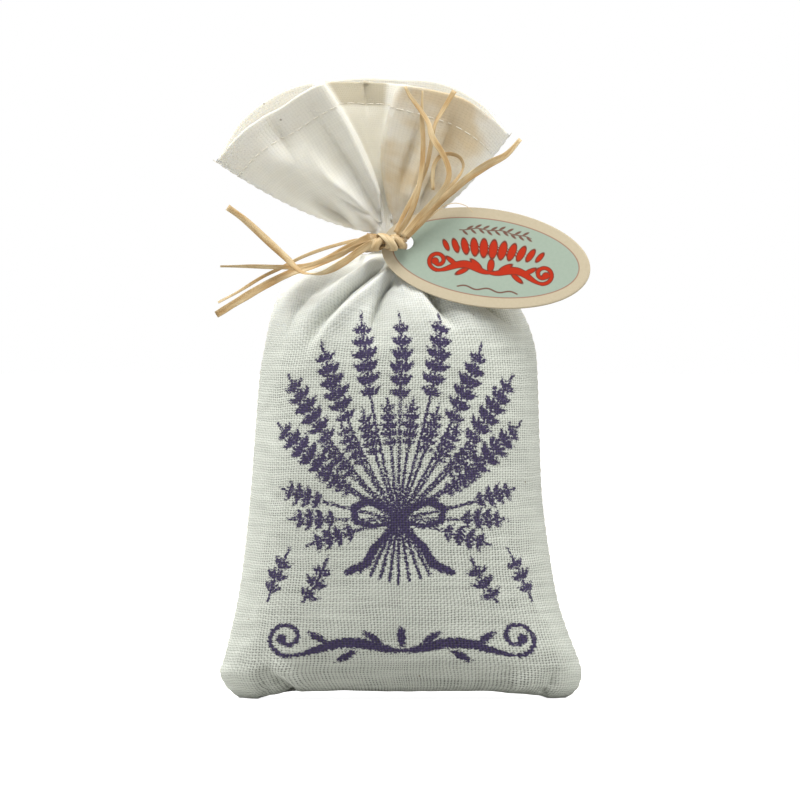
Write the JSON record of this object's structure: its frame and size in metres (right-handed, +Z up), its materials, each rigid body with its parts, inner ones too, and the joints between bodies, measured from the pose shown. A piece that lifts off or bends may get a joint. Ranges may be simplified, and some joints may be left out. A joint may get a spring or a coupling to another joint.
{
  "type": "lavender sachet",
  "caption": "Small muslin bag filled with dried lavender, gathered and tied at the neck with raffia, with an oval card tag that swings on the tie.",
  "frame": {"origin": "centre of the base on the surface that the sachet stands on", "axes": "+Z up from the base to the open mouth, -Y out of the printed front, +X to the right as seen from the front"},
  "size_m": [0.0933, 0.0404, 0.1554],
  "materials": {
    "muslin": "matte",
    "lavender_buds": "matte",
    "sewing_thread": "matte",
    "raffia": "satin",
    "tag_card": "satin"
  },
  "bodies": {
    "bag": {"front_panel": "muslin", "back_panel": "muslin", "lavender_filling": "lavender_buds", "left_seam_thread": "sewing_thread", "right_seam_thread": "sewing_thread", "bottom_seam_thread": "sewing_thread", "hem_thread": "sewing_thread", "neck_binding": "raffia", "tie_knot": "raffia", "left_tail_1": "raffia", "left_tail_2": "raffia", "left_tail_3": "raffia", "left_tail_4": "raffia", "right_tail_1": "raffia", "right_tail_2": "raffia", "right_tail_3": "raffia", "right_tail_4": "raffia", "right_tail_5": "raffia"},
    "string": {"tag_string": "raffia"},
    "tag": {"hang_tag": "tag_card"}
  },
  "joints": [
    {"name": "tag_swing", "type": "hinge", "parent": "bag", "child": "string", "pos_m": [0.0008, -0.0094, 0.1138], "axis": [0, -0.9455, 0.3256], "range_deg": [-80, 18]},
    {"name": "tag_lift", "type": "hinge", "parent": "string", "child": "tag", "pos_m": [0.0008, -0.0094, 0.1138], "axis": [-0.1409, -0.3223, -0.9361], "range_deg": [0, 10]}
  ]
}
